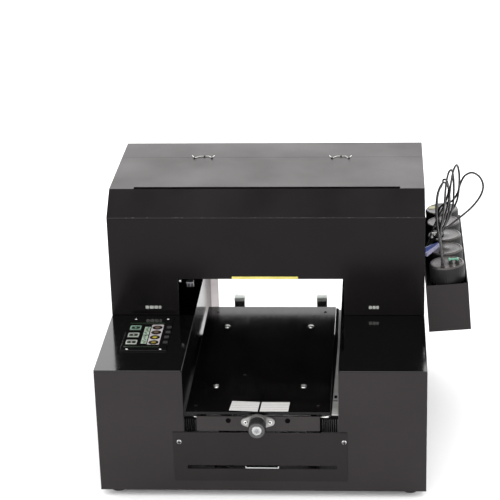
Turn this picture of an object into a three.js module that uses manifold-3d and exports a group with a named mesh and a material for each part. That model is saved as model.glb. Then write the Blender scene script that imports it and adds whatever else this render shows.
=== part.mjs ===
// Desktop flatbed UV printer, millimetres, +Z up, front facing -Y.
// Shaped in a housing frame: X = 0 on the housing's middle, Y = 0 on its front face,
// Z = 0 on its bottom edge. The last lines move the whole printer so that its origin is
// the middle of its footprint, on the surface that its feet stand on.
import * as THREE from 'three';
import { mergeVertices } from 'three/addons/utils/BufferGeometryUtils.js';
import Module from 'manifold-3d';

const wasm = await Module();
wasm.setup();

// Driving dimensions: housing
const HALF_WIDTH = 290;
const DEPTH = 550;
const SHOULDER_Z = 236;
const WALL_Y = 236;
const SLOPE_Z = 430;
const CREST_Y = 287;
const TOP_Z = 467;
const SHEET = 2;
const GAP = 0.3;
const FOOT_HEIGHT = 13;
const FOOT_RADIUS = 17;
const HINGE_Y = 463;
const FINGER_SLOT = { halfWidth: 245, depth: 10 };
const SLOT_HALF_WIDTH = 136;
const SLOT_BOTTOM_Z = 100;
const WINDOW = { left: -164, right: 141.5, top: 308.5 };
const REAR_WINDOW = { bottom: 52, top: 214 };
const TRAY_SLIT = { left: -132.7, right: 132, bottom: 44.4, top: 51.4 };
const COVER_PLATE = { left: -156.6, right: 151, bottom: 19.8, top: 116.6, thick: 1.5 };
const TUBE_HOLE = { y: 327, z: 324, halfLength: 18, halfHeight: 7 };

// Driving dimensions: controls
const PANEL = { left: -254, right: -172, front: 78, back: 222, thick: 2 };
const RECT_KEY = { x: -237.4, ys: [172.6, 141.1, 110.5], width: 21, depth: 20 };
const ROUND_KEY = { x: -197.7, ys: [174.3, 153.2, 132, 110.7], radius: 7.5 };
const KEY_CLEARANCE = 0.4;
const KEY_HEIGHT = 1.8;
const KEY_LIFT = 1.3;

// Driving dimensions: bed
const PLATEN = { left: -132.5, right: 121, front: 2.5, back: 457.5, top: 155, thick: 5 };
const POST = { radius: 5, length: 26, xs: [-102, 92], ys: [14, 426] };
const BED = { left: -113, right: 103, front: -1, back: 440, bottom: 120, top: 148, wall: 4 };
const SADDLE = { front: 240, back: 430, bottom: 100 };
const RAIL = { lefts: [-86, 81], width: 20, front: 14, back: 540, bottom: 54, top: 66 };
const RAIL_POST = { depth: 20, rearTop: 144 };
const KNOB = { x: -5.3, z: 138.9, radius: 15.5, front: -38, back: -13, shaft: 4.9, end: 80 };
const BEARING = { halfSpan: 21.5, ear: 8, hub: 15, boss: 13, thick: 4, bossThick: 5.5, bore: 5 };
const TRAY = { left: -60, right: 74, back: 250, bottom: 46.2, thick: 1.8, tabHalf: 29.5 };
const GUIDE_STRIP = { left: 122.5, back: 450, bottom: 149, thick: 3, holes: [24, 46], bore: 2.6 };

// Driving dimensions: print gantry
const BEAM = { y: 340, depth: 12, bottom: 322, top: 342, plateY: 380, plateThick: 3 };
const CARRIAGE = { x: 215, halfWidth: 45, front: 296, back: 362, bottom: 300, top: 362 };
const BELT = { y: 370, z: 332, width: 6, thick: 1.3 };
const PULLEY = { x: 250, radius: 8, flange: 10.5, bore: 2.6, width: 8.2 };
const MOTOR = { half: 21, length: 38, shaft: 2.5 };

// Driving dimensions: ink supply
const INK_BOX = { x: 291, y: 203, z: 309, width: 77, height: 92, length: 347, tilt: 4.4 };
const BOTTLE = { count: 5, pitch: 69.4, x: 41, radius: 30, neck: 20, neckHeight: 9 };
const CAP = { radius: 32, top: 30, bottom: -3, chamfer: 2 };
const BARB = { x: -8, y: -20, radius: 4, height: 7 };
const TUBE_RADIUS = 2;
const TUBE_STEP = 9;
const TUBE_RISE = 14;

function finish(color, roughness, metalness) {
  return new THREE.MeshStandardMaterial({ color, roughness, metalness });
}
const blackCoat = () => finish(0x2c292a, 0.6, 0.3);
const glossBlack = () => finish(0x121112, 0.2, 0.2);
const darkPlastic = () => finish(0x1b1a1b, 0.5, 0);
const steel = () => finish(0xb9bcc0, 0.3, 0.9);
const rubber = () => finish(0x151515, 0.9, 0);

function addMesh(parent, name, geometry, material) {
  const mesh = new THREE.Mesh(geometry, material);
  mesh.name = name;
  parent.add(mesh);
  return mesh;
}

// Closed three.js geometry to a solid, and back.
function toSolid(geometry) {
  const bare = geometry.clone();
  bare.deleteAttribute('normal');
  bare.deleteAttribute('uv');
  const merged = mergeVertices(bare, 1e-4);
  return new wasm.Manifold(new wasm.Mesh({
    numProp: 3,
    vertProperties: new Float32Array(merged.attributes.position.array),
    triVerts: new Uint32Array(merged.index.array),
  }));
}
function toGeometry(solid) {
  const mesh = solid.getMesh();
  const geometry = new THREE.BufferGeometry();
  geometry.setAttribute('position', new THREE.BufferAttribute(mesh.vertProperties, 3));
  geometry.setIndex(new THREE.BufferAttribute(mesh.triVerts, 1));
  return geometry;
}
function join(...geometries) {
  return toGeometry(geometries.map(toSolid).reduce((all, next) => all.add(next)));
}
function cut(geometry, ...tools) {
  return toGeometry(tools.map(toSolid).reduce((rest, tool) => rest.subtract(tool), toSolid(geometry)));
}

// Box between two corners.
function block([x0, y0, z0], [x1, y1, z1]) {
  const geometry = new THREE.BoxGeometry(x1 - x0, y1 - y0, z1 - z0);
  return geometry.translate((x0 + x1) / 2, (y0 + y1) / 2, (z0 + z1) / 2);
}
function outline(points) {
  return new THREE.Shape(points.map(([u, v]) => new THREE.Vector2(u, v)));
}
function rectangle(left, bottom, right, top) {
  return outline([[left, bottom], [right, bottom], [right, top], [left, top]]);
}
function circle(u, v, radius) {
  return new THREE.Shape().absarc(u, v, radius, 0, 2 * Math.PI);
}
function extrude(shape, depth, curveSegments = 12) {
  return new THREE.ExtrudeGeometry(shape, { depth, bevelEnabled: false, curveSegments });
}
// Shape drawn in (Y, Z) and extruded from x0 to x1.
function plateAlongX(shape, x0, x1) {
  const axes = new THREE.Matrix4().makeBasis(
    new THREE.Vector3(0, 1, 0), new THREE.Vector3(0, 0, 1), new THREE.Vector3(1, 0, 0));
  return extrude(shape, x1 - x0).applyMatrix4(axes).translate(x0, 0, 0);
}
// Shape drawn in (X, Z) and extruded from y0 to y1.
function plateAlongY(shape, y0, y1) {
  return extrude(shape, y1 - y0).rotateX(Math.PI / 2).translate(0, y1, 0);
}
// Shape drawn in (X, Y) and extruded from z0 to z1.
function plateAlongZ(shape, z0, z1) {
  return extrude(shape, z1 - z0).translate(0, 0, z0);
}
// Round rod with its axis along Y, from y0 to y1.
function rodAlongY(x, z, radius, y0, y1, sides = 16) {
  const rod = new THREE.CylinderGeometry(radius, radius, y1 - y0, sides);
  return rod.translate(x, (y0 + y1) / 2, z);
}
// Round rod with its axis along Z, from z0 to z1.
function rodAlongZ(x, y, radius, z0, z1, sides = 16) {
  const rod = new THREE.CylinderGeometry(radius, radius, z1 - z0, sides);
  return rod.rotateX(Math.PI / 2).translate(x, y, (z0 + z1) / 2);
}

function addFloor(parent) {
  const edge = HALF_WIDTH - SHEET - GAP;
  const inset = SHEET + GAP;
  addMesh(parent, 'base_plate', block([-edge, inset, 0], [edge, DEPTH - inset, SHEET]), blackCoat());
  const corners = { front_left: [-262, 31], front_right: [262, 31],
    rear_left: [-262, 514], rear_right: [262, 514] };
  for (const [corner, [x, y]] of Object.entries(corners)) {
    const profile = [[0, -FOOT_HEIGHT], [FOOT_RADIUS - 3, -FOOT_HEIGHT],
      [FOOT_RADIUS, 2 - FOOT_HEIGHT], [FOOT_RADIUS, -GAP], [0, -GAP]];
    const foot = new THREE.LatheGeometry(profile.map(([r, z]) => new THREE.Vector2(r, z)), 20);
    addMesh(parent, `foot_${corner}`, foot.rotateX(Math.PI / 2).translate(x, y, 0), rubber());
  }
}

// L-shaped side sheet, inset behind the sheets that cover its edges.
function sideOutline() {
  const inset = SHEET + GAP;
  const wall = WALL_Y + inset;
  const roof = TOP_Z - inset;
  return outline([[inset, 0], [DEPTH - inset, 0], [DEPTH - inset, roof], [CREST_Y + 1, roof],
    [CREST_Y, roof - 1], [wall, SLOPE_Z - 1.3], [wall, SHOULDER_Z - inset],
    [inset, SHOULDER_Z - inset]]);
}
function addSides(parent) {
  const inner = HALF_WIDTH - SHEET;
  addMesh(parent, 'left_side_panel', plateAlongX(sideOutline(), -HALF_WIDTH, -inner), blackCoat());
  const right = sideOutline();
  const { y, z, halfLength, halfHeight } = TUBE_HOLE;
  right.holes.push(rectangle(y - halfLength, z - halfHeight, y + halfLength, z + halfHeight));
  addMesh(parent, 'right_side_panel', plateAlongX(right, inner, HALF_WIDTH), blackCoat());
  for (const [side, x] of [['left', -SLOT_HALF_WIDTH - SHEET], ['right', SLOT_HALF_WIDTH]]) {
    const low = [x, SHEET + GAP, SHEET + GAP];
    const high = [x + SHEET, DEPTH - SHEET - GAP, SHOULDER_Z];
    addMesh(parent, `${side}_inner_wall`, block(low, high), glossBlack());
  }
}

function traySlit() {
  return rectangle(TRAY_SLIT.left, TRAY_SLIT.bottom, TRAY_SLIT.right, TRAY_SLIT.top);
}
function addFront(parent) {
  const top = SHOULDER_Z - SHEET - GAP;
  const panel = outline([[-HALF_WIDTH, 0], [HALF_WIDTH, 0], [HALF_WIDTH, top],
    [SLOT_HALF_WIDTH, top], [SLOT_HALF_WIDTH, SLOT_BOTTOM_Z], [-SLOT_HALF_WIDTH, SLOT_BOTTOM_Z],
    [-SLOT_HALF_WIDTH, top], [-HALF_WIDTH, top]]);
  panel.holes.push(traySlit());
  addMesh(parent, 'front_panel', plateAlongY(panel, 0, SHEET), blackCoat());
  const { left, right, bottom, top: plateTop, thick } = COVER_PLATE;
  const cover = rectangle(left, bottom, right, plateTop);
  cover.holes.push(traySlit());
  addMesh(parent, 'front_cover_plate', plateAlongY(cover, -GAP - thick, -GAP), blackCoat());
  const shoulderInner = SLOT_HALF_WIDTH + SHEET + GAP;
  for (const [side, x0, x1] of [['left', -HALF_WIDTH, -shoulderInner],
    ['right', shoulderInner, HALF_WIDTH]]) {
    const sheet = block([x0, 0, SHOULDER_Z - SHEET], [x1, WALL_Y - GAP, SHOULDER_Z]);
    addMesh(parent, `${side}_shoulder`, sheet, glossBlack());
  }
}

function addUpperBody(parent) {
  const base = SHOULDER_Z + GAP;
  const top = SLOPE_Z - SHEET - 0.8;
  const wall = outline([[-HALF_WIDTH, base], [WINDOW.left, base], [WINDOW.left, WINDOW.top],
    [WINDOW.right, WINDOW.top], [WINDOW.right, base], [HALF_WIDTH, base], [HALF_WIDTH, top],
    [-HALF_WIDTH, top]]);
  addMesh(parent, 'upper_front_panel', plateAlongY(wall, WALL_Y, WALL_Y + SHEET), blackCoat());
  const drop = 2.4;
  const slope = outline([[WALL_Y, SLOPE_Z], [WALL_Y, SLOPE_Z - drop], [CREST_Y, TOP_Z - drop],
    [CREST_Y, TOP_Z]]);
  addMesh(parent, 'slanted_fascia', plateAlongX(slope, -HALF_WIDTH, HALF_WIDTH), blackCoat());
  addMesh(parent, 'rear_deck', block([-HALF_WIDTH, HINGE_Y + GAP, TOP_Z - SHEET],
    [HALF_WIDTH, DEPTH, TOP_Z]), blackCoat());
  const back = rectangle(-HALF_WIDTH, 0, HALF_WIDTH, TOP_Z - SHEET - GAP);
  back.holes.push(rectangle(-SLOT_HALF_WIDTH, REAR_WINDOW.bottom, SLOT_HALF_WIDTH, REAR_WINDOW.top));
  back.holes.push(rectangle(216, 50, 244, 72));
  addMesh(parent, 'rear_panel', plateAlongY(back, DEPTH - SHEET, DEPTH), blackCoat());
  const socket = join(block([217, 528, 51], [243, DEPTH + GAP + 1, 71]),
    block([206, DEPTH + GAP, 48], [254, DEPTH + GAP + 2, 74]));
  const recess = block([221, 538, 54], [239, DEPTH + 3, 68]);
  addMesh(parent, 'power_inlet', cut(socket, recess), darkPlastic());
}

// Flat cover with a finger slot at its front and a folded stiffening rim below.
function addLid(parent) {
  const front = CREST_Y + GAP;
  const back = HINGE_Y - GAP;
  const { halfWidth, depth } = FINGER_SLOT;
  const sheet = plateAlongZ(outline([[-HALF_WIDTH, front], [-halfWidth, front],
    [-halfWidth, front + depth], [halfWidth, front + depth], [halfWidth, front],
    [HALF_WIDTH, front], [HALF_WIDTH, back], [-HALF_WIDTH, back]]), TOP_Z - SHEET, TOP_Z);
  const rimTop = TOP_Z - 1;
  const rimBottom = TOP_Z - 12;
  const rimX = HALF_WIDTH - 10;
  const rimFront = front + depth + 4;
  const lid = join(sheet,
    block([-rimX, rimFront, rimBottom], [rimX, rimFront + SHEET, rimTop]),
    block([-rimX, rimFront, rimBottom], [SHEET - rimX, back - 10, rimTop]),
    block([rimX - SHEET, rimFront, rimBottom], [rimX, back - 10, rimTop]));
  addMesh(parent, 'lid', lid, blackCoat());
}

function addControls(parent) {
  const base = SHOULDER_Z + GAP;
  const plate = rectangle(PANEL.left, PANEL.front, PANEL.right, PANEL.back);
  const halfW = RECT_KEY.width / 2;
  const halfD = RECT_KEY.depth / 2;
  for (const y of RECT_KEY.ys) {
    const w = halfW + KEY_CLEARANCE;
    const d = halfD + KEY_CLEARANCE;
    plate.holes.push(rectangle(RECT_KEY.x - w, y - d, RECT_KEY.x + w, y + d));
  }
  for (const y of ROUND_KEY.ys) {
    plate.holes.push(circle(ROUND_KEY.x, y, ROUND_KEY.radius + KEY_CLEARANCE));
  }
  addMesh(parent, 'control_panel', plateAlongZ(plate, base, base + PANEL.thick), glossBlack());
  const low = SHOULDER_Z + KEY_LIFT;
  RECT_KEY.ys.forEach((y, i) => {
    const key = block([RECT_KEY.x - halfW, y - halfD, low],
      [RECT_KEY.x + halfW, y + halfD, low + KEY_HEIGHT]);
    addMesh(parent, `mode_key_${i + 1}`, key, darkPlastic());
  });
  ROUND_KEY.ys.forEach((y, i) => {
    const key = rodAlongZ(ROUND_KEY.x, y, ROUND_KEY.radius, low, low + KEY_HEIGHT, 20);
    addMesh(parent, `jog_key_${i + 1}`, key, darkPlastic());
  });
}

// Steel bar on two posts, with a ledge that carries the drip tray.
function addBedRails(parent) {
  RAIL.lefts.forEach((x, i) => {
    const right = x + RAIL.width;
    const floor = SHEET + GAP;
    const bar = block([x, RAIL.front, RAIL.bottom], [right, RAIL.back, RAIL.top]);
    const frontPost = block([x, RAIL.front, floor],
      [right, RAIL.front + RAIL_POST.depth, RAIL.bottom + 1]);
    const rearPost = block([x, RAIL.back - RAIL_POST.depth, floor],
      [right, RAIL.back, RAIL_POST.rearTop]);
    const ledgeX = i === 0 ? [right - 1, TRAY.left + 5] : [x + 1, TRAY.right - 5];
    const ledge = block([Math.min(...ledgeX), RAIL.front, TRAY.bottom - 4],
      [Math.max(...ledgeX), TRAY.back, TRAY.bottom - GAP]);
    const name = i === 0 ? 'bed_rail_left' : 'bed_rail_right';
    addMesh(parent, name, join(bar, frontPost, rearPost, ledge), steel());
  });
}

// Shallow welded frame: front plate, side beams, rear plate and the saddle on the rails.
function addBedFrame(parent) {
  const { left, right, front, back, bottom, top, wall } = BED;
  const frame = join(
    block([left, front, bottom], [right, front + 3, top]),
    block([left, front, bottom], [left + wall, back, top]),
    block([right - wall, front, bottom], [right, back, top]),
    block([left, back - wall, bottom], [right, back, top]),
    block([left, SADDLE.front, SADDLE.bottom], [right, SADDLE.back, bottom + 2]),
    block([RAIL.lefts[0] - 6, SADDLE.front, RAIL.top + GAP],
      [RAIL.lefts[0] + RAIL.width + 6, SADDLE.back, SADDLE.bottom + 1]),
    block([RAIL.lefts[1] - 4, SADDLE.front, RAIL.top + GAP],
      [RAIL.lefts[1] + RAIL.width + 2, SADDLE.back, SADDLE.bottom + 1]));
  const holes = [rodAlongY(KNOB.x, KNOB.z, KNOB.shaft + 0.6, front - 2, front + 5),
    rodAlongY(KNOB.x - 52, KNOB.z + 1, 3, front - 2, front + 5, 12),
    rodAlongY(KNOB.x + 52, KNOB.z + 1, 3, front - 2, front + 5, 12)];
  addMesh(parent, 'bed_frame', cut(frame, ...holes), blackCoat());
}

function addPlaten(parent) {
  const { left, right, front, back, top, thick } = PLATEN;
  const plate = block([left, front, top - thick], [right, back, top]);
  const posts = POST.xs.flatMap((x) => POST.ys.map((y) => (
    rodAlongZ(x, y, POST.radius, top - thick - POST.length, top - thick + 1, 12))));
  addMesh(parent, 'platen', join(plate, ...posts), blackCoat());
}

// Lens-shaped two-bolt flange bearing and the knob whose shaft runs in it.
function addHeightKnob(parent) {
  const { halfSpan, ear, hub, boss, thick, bossThick, bore } = BEARING;
  const back = BED.front - GAP;
  const tangent = Math.acos((hub - ear) / halfSpan);
  const flange = new THREE.Shape();
  flange.absarc(0, 0, hub, tangent, Math.PI - tangent, false);
  flange.absarc(-halfSpan, 0, ear, Math.PI - tangent, Math.PI + tangent, false);
  flange.absarc(0, 0, hub, Math.PI + tangent, 2 * Math.PI - tangent, false);
  flange.absarc(halfSpan, 0, ear, -tangent, tangent, false);
  for (const x of [-halfSpan, halfSpan]) flange.holes.push(circle(x, 0, 3));
  const body = join(plateAlongY(flange, back - thick, back),
    rodAlongY(0, 0, boss, back - thick - bossThick, back - thick + 1, 24));
  const bearing = cut(body, rodAlongY(0, 0, bore, back - 20, back + 5, 24));
  addMesh(parent, 'knob_bearing', bearing.translate(KNOB.x, 0, KNOB.z), steel());
  const profile = [[0, KNOB.front], [KNOB.radius - 1.5, KNOB.front],
    [KNOB.radius, KNOB.front + 1.5], [KNOB.radius, KNOB.back], [KNOB.shaft, KNOB.back],
    [KNOB.shaft, KNOB.end], [0, KNOB.end]];
  const knob = new THREE.LatheGeometry(profile.map(([r, y]) => new THREE.Vector2(r, y)), 24);
  addMesh(parent, 'height_knob', knob.translate(KNOB.x, 0, KNOB.z), darkPlastic());
}

function addTrayAndGuide(parent) {
  const { left, right, back, bottom, thick, tabHalf } = TRAY;
  const top = bottom + thick;
  const ear = (x) => block([x, -3, bottom], [x + 1.5, 4, top + 2.5]);
  const tray = join(block([left, 8, bottom], [right, back, top]),
    block([-tabHalf, -3, bottom], [tabHalf, 9, top]), ear(-tabHalf), ear(tabHalf - 1.5));
  addMesh(parent, 'drip_tray', tray, finish(0xd6d8da, 0.3, 0.9));
  const strip = rectangle(GUIDE_STRIP.left, SHEET + GAP, SLOT_HALF_WIDTH - GAP, GUIDE_STRIP.back);
  for (const y of GUIDE_STRIP.holes) {
    strip.holes.push(circle((GUIDE_STRIP.left + SLOT_HALF_WIDTH) / 2, y, GUIDE_STRIP.bore));
  }
  const low = GUIDE_STRIP.bottom;
  addMesh(parent, 'side_guide_strip', plateAlongZ(strip, low, low + GUIDE_STRIP.thick), steel());
}

// Fixed beam across the housing: sliding bar, end blocks, back plate and idler stud.
function addBeam(parent) {
  const edge = HALF_WIDTH - SHEET - GAP;
  const { y, depth, bottom, top, plateY, plateThick } = BEAM;
  const endBlock = (x0, x1) => block([x0, y, bottom - 4], [x1, plateY + 1, top + 4]);
  const beam = join(block([-edge, y, bottom], [edge, y + depth, top]),
    endBlock(-edge, 14 - edge), endBlock(edge - 14, edge),
    block([-edge, plateY, bottom - 30], [edge, plateY + plateThick, top + 10]),
    rodAlongY(PULLEY.x, BELT.z, MOTOR.shaft, BELT.y - 5, plateY + 1));
  const shaftHole = rodAlongY(-PULLEY.x, BELT.z, 6, plateY - 2, plateY + 5);
  addMesh(parent, 'carriage_rail', cut(beam, shaftHole), steel());
  const motorFront = plateY + plateThick + GAP;
  const motor = join(
    block([-PULLEY.x - MOTOR.half, motorFront, BELT.z - MOTOR.half],
      [MOTOR.half - PULLEY.x, motorFront + MOTOR.length, BELT.z + MOTOR.half]),
    rodAlongY(-PULLEY.x, BELT.z, MOTOR.shaft, BELT.y - 5, motorFront + 1));
  addMesh(parent, 'carriage_motor', motor, darkPlastic());
}

function addBeltDrive(parent) {
  const { radius, flange, bore, width } = PULLEY;
  const near = BELT.y - width / 2;
  const far = BELT.y + width / 2;
  const profile = [[bore, near], [flange, near], [flange, near + 0.8], [radius, near + 0.8],
    [radius, far - 0.8], [flange, far - 0.8], [flange, far], [bore, far], [bore, near]];
  for (const [name, x] of [['drive_pulley', -PULLEY.x], ['idler_pulley', PULLEY.x]]) {
    const wheel = new THREE.LatheGeometry(profile.map(([r, y]) => new THREE.Vector2(r, y)), 20);
    addMesh(parent, name, wheel.translate(x, 0, BELT.z), finish(0xd0d0d0, 0.35, 0.8));
  }
  const stadium = (shape, r) => {
    shape.absarc(PULLEY.x, 0, r, -Math.PI / 2, Math.PI / 2, false);
    shape.absarc(-PULLEY.x, 0, r, Math.PI / 2, 1.5 * Math.PI, false);
    return shape;
  };
  const loop = stadium(new THREE.Shape(), radius + GAP + BELT.thick);
  loop.holes.push(stadium(new THREE.Path(), radius + GAP));
  const belt = plateAlongY(loop, BELT.y - BELT.width / 2, BELT.y + BELT.width / 2);
  addMesh(parent, 'carriage_belt', belt.translate(0, 0, BELT.z), rubber());
}

function addCarriage(parent) {
  const { x, halfWidth, front, back, bottom, top } = CARRIAGE;
  const body = block([x - halfWidth, front, bottom], [x + halfWidth, back, top]);
  const slot = block([x - halfWidth - 5, BEAM.y - 1, BEAM.bottom - 1],
    [x + halfWidth + 5, BEAM.y + BEAM.depth + 1, BEAM.top + 1]);
  addMesh(parent, 'carriage', cut(body, slot), darkPlastic());
  const head = join(block([x - 30, front + 6, bottom - 8], [x + 30, back - 22, bottom - GAP]),
    block([x - 22, front + 10, bottom - 20], [x + 22, back - 26, bottom - 7]));
  addMesh(parent, 'print_head', head, finish(0x8c8f92, 0.35, 0.7));
  addMesh(parent, 'uv_lamp', block([x - 38, front - 25, bottom - 4], [x + 38, front - GAP, top - 12]),
    finish(0x9aa0a6, 0.35, 0.7));
  const cap = { low: SHOULDER_Z + 4, high: bottom - 20 - GAP - 1 };
  const station = join(block([x - 36, front, cap.low], [x + 36, back - 14, cap.high - 14]),
    block([x - 26, front + 8, cap.high - 15], [x + 26, back - 24, cap.high]));
  addMesh(parent, 'capping_station', station, darkPlastic());
}

// Group whose origin is the box's upper, inner, front corner, tilted as the box hangs.
function inkBoxFrame() {
  const frame = new THREE.Group();
  frame.position.set(INK_BOX.x, INK_BOX.y, INK_BOX.z);
  frame.rotation.y = -THREE.MathUtils.degToRad(INK_BOX.tilt);
  frame.updateMatrixWorld(true);
  return frame;
}
const bottleY = (i) => BOTTLE.pitch * (i + 0.5);

function addInkBox(parent) {
  const frame = inkBoxFrame();
  const { width, height, length } = INK_BOX;
  const shell = cut(block([0, 0, -height], [width, length, 0]),
    block([SHEET, SHEET, SHEET - height], [width - SHEET, length - SHEET, 5]));
  addMesh(frame, 'ink_box', shell, blackCoat());
  for (let i = 0; i < BOTTLE.count; i += 1) {
    const low = SHEET + GAP - height;
    const high = CAP.bottom - GAP;
    const profile = [[0, low], [BOTTLE.radius - 3, low], [BOTTLE.radius, low + 3],
      [BOTTLE.radius, high - BOTTLE.neckHeight - 8], [BOTTLE.neck, high - BOTTLE.neckHeight],
      [BOTTLE.neck, high], [0, high]];
    const bottle = new THREE.LatheGeometry(profile.map(([r, z]) => new THREE.Vector2(r, z)), 20);
    bottle.rotateX(Math.PI / 2).translate(BOTTLE.x, bottleY(i), 0);
    addMesh(frame, `ink_bottle_${i + 1}`, bottle, finish(0x3a3436, 0.3, 0));
    const rim = [[0, CAP.bottom], [CAP.radius, CAP.bottom], [CAP.radius, CAP.top - CAP.chamfer],
      [CAP.radius - CAP.chamfer, CAP.top], [0, CAP.top]];
    const lid = new THREE.LatheGeometry(rim.map(([r, z]) => new THREE.Vector2(r, z)), 24);
    const barb = rodAlongZ(BARB.x, BARB.y, BARB.radius, CAP.top - 1, CAP.top + BARB.height, 12);
    const cap = join(lid.rotateX(Math.PI / 2), barb).translate(BOTTLE.x, bottleY(i), 0);
    addMesh(frame, `bottle_cap_${i + 1}`, cap, darkPlastic());
  }
  parent.add(frame);
}

// Each tube rises from its cap's barb, loops above the bottles and enters the side panel.
const TUBE_ROUTES = [
  [[317, 230, 382], [312, 254, 406], [311, 282, 430], [315, 309, 452], [325, 329, 463],
    [334, 345, 450], [338, 352, 426], [337, 354, 398], [330, 347, 374], [318, 340.5, 355],
    [304, 336.2, 340], [295.5, 328, 328.5], [288.5, 318.8, 323]],
  [[320, 294, 386], [325, 311, 408], [328, 321, 434], [330, 327, 460], [335, 337, 480],
    [341, 350, 480], [345, 359, 458], [346, 362, 430], [344, 361, 402], [335, 354, 378],
    [320, 346, 357], [305, 341.6, 340], [296, 334, 328.5], [288.5, 325, 323]],
  [[327, 363, 374], [342, 369, 391], [352, 367, 412], [356, 367, 442], [355, 362, 472],
    [350, 350, 490], [344, 337, 485], [339, 331, 460], [336, 333, 430], [331, 337, 402],
    [323, 334, 376], [313, 332, 356], [303.4, 330.4, 341], [295.5, 321.8, 328.5],
    [288.5, 312.2, 323]],
  [[322, 420, 378], [331, 407, 392], [345, 391, 404], [354, 380, 424], [359, 373, 446],
    [367, 368, 463], [380, 366, 469], [394, 367, 460], [401, 370, 441], [396, 372, 420],
    [381, 371, 399], [362, 366, 383], [342, 358, 369], [322, 350.8, 356.5],
    [305, 347.2, 340], [296, 340.2, 328.5], [288.5, 331.2, 323]],
  [[321, 487, 380], [323, 468, 398], [326, 440, 416], [327, 414, 432], [328, 392, 446],
    [333, 376, 450], [336.5, 367, 434], [331, 368, 410], [321, 366, 386], [311, 361, 366],
    [304, 355.4, 349], [300, 351.8, 337], [294.5, 346.3, 327.5], [288.5, 337.4, 323]],
];
function addInkTubes(parent) {
  const frame = inkBoxFrame();
  TUBE_ROUTES.forEach((route, i) => {
    const barbTop = new THREE.Vector3(BOTTLE.x + BARB.x, bottleY(i) + BARB.y,
      CAP.top + BARB.height + GAP);
    const rise = barbTop.clone().add(new THREE.Vector3(0, 0, TUBE_RISE));
    const points = [barbTop, rise].map((point) => frame.localToWorld(point));
    points.push(...route.map(([x, y, z]) => new THREE.Vector3(x, y, z)));
    const path = new THREE.CatmullRomCurve3(points, false, 'centripetal');
    const steps = Math.round(path.getLength() / TUBE_STEP);
    const tube = new THREE.ExtrudeGeometry(circle(0, 0, TUBE_RADIUS),
      { extrudePath: path, steps, curveSegments: 4, bevelEnabled: false });
    addMesh(parent, `ink_tube_${i + 1}`, tube, finish(0x1a1a1a, 0.4, 0));
  });
}

const printer = new THREE.Group();
addFloor(printer);
addSides(printer);
addFront(printer);
addUpperBody(printer);
addLid(printer);
addControls(printer);
addBedRails(printer);
addBedFrame(printer);
addPlaten(printer);
addHeightKnob(printer);
addTrayAndGuide(printer);
addBeam(printer);
addBeltDrive(printer);
addCarriage(printer);
addInkBox(printer);

// Origin: middle of the printer's footprint, at the bottom of its feet.
const footprint = new THREE.Box3().setFromObject(printer, true);
const centre = footprint.getCenter(new THREE.Vector3());
addInkTubes(printer);
printer.position.set(-centre.x, -centre.y, -footprint.min.z);

const group = new THREE.Group();
group.add(printer);
export default group;
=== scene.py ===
import math
import random

import bmesh
import bpy
from mathutils import Matrix, Vector


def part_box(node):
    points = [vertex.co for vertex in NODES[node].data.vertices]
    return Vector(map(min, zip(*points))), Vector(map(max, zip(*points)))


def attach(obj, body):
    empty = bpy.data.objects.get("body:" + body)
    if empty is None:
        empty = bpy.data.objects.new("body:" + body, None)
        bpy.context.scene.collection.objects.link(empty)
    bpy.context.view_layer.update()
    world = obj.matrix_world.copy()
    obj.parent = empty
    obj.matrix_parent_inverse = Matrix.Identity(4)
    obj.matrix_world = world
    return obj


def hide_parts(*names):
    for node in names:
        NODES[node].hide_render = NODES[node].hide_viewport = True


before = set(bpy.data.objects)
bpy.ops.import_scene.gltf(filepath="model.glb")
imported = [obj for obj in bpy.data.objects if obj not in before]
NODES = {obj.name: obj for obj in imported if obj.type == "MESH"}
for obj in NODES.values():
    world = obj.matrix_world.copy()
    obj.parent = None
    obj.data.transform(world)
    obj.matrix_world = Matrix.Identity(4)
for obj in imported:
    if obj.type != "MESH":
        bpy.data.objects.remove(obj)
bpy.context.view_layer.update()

HOUSING = "housing"

front_low, front_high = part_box("front_panel")
ZERO = Vector(((front_low.x + front_high.x) / 2, front_low.y, front_low.z))
HOUSE = Matrix.Translation(ZERO)
MM = 0.001
TINY = 1e-9
FILM = 0.2  # thickness of printed marks
UPWARD, FRONTWARD, BACKWARD, RIGHTWARD = (0, 0, 1), (0, -1, 0), (0, 1, 0), (1, 0, 0)


def at(x, y, z):
    return ZERO + Vector((x, y, z)) * MM


def here(x, y, z):
    return Matrix.Translation(at(x, y, z))


def link(obj):
    bpy.context.scene.collection.objects.link(obj)


def house_box(node):
    """A CAD node's lowest and highest corners, in housing millimetres."""
    return [(corner - ZERO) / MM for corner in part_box(node)]


# Ink rack: its upper, inner, front corner and the angle it leans out by.
RACK_CORNER = at(291, 203, 309)
RACK_TILT = math.radians(4.4)
RACK = Matrix.Translation(RACK_CORNER) @ Matrix.Rotation(-RACK_TILT, 4, "Y")
BOTTLE_X = 41
BOTTLE_PITCH = 69.4
BARB = Vector((-8, -20, 37))


def racked(x, y, z):
    return RACK @ Matrix.Translation(Vector((x, y, z)) * MM)


def bottle_y(i):
    return BOTTLE_PITCH * (i + 0.5)


# ---- camera

CAMERA_PLACE = at(208.0, -2738.3, 1571.6)
CAMERA_PITCH = math.radians(22.028)
CAMERA_YAW = math.radians(-3.153)
CAMERA_ROLL = math.radians(-1.203)
SENSOR_WIDTH = 36
FOCAL_LENGTH = 126.74
FRAMING_SHIFT = -0.08
VIEW_DEPTH = 100


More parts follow.
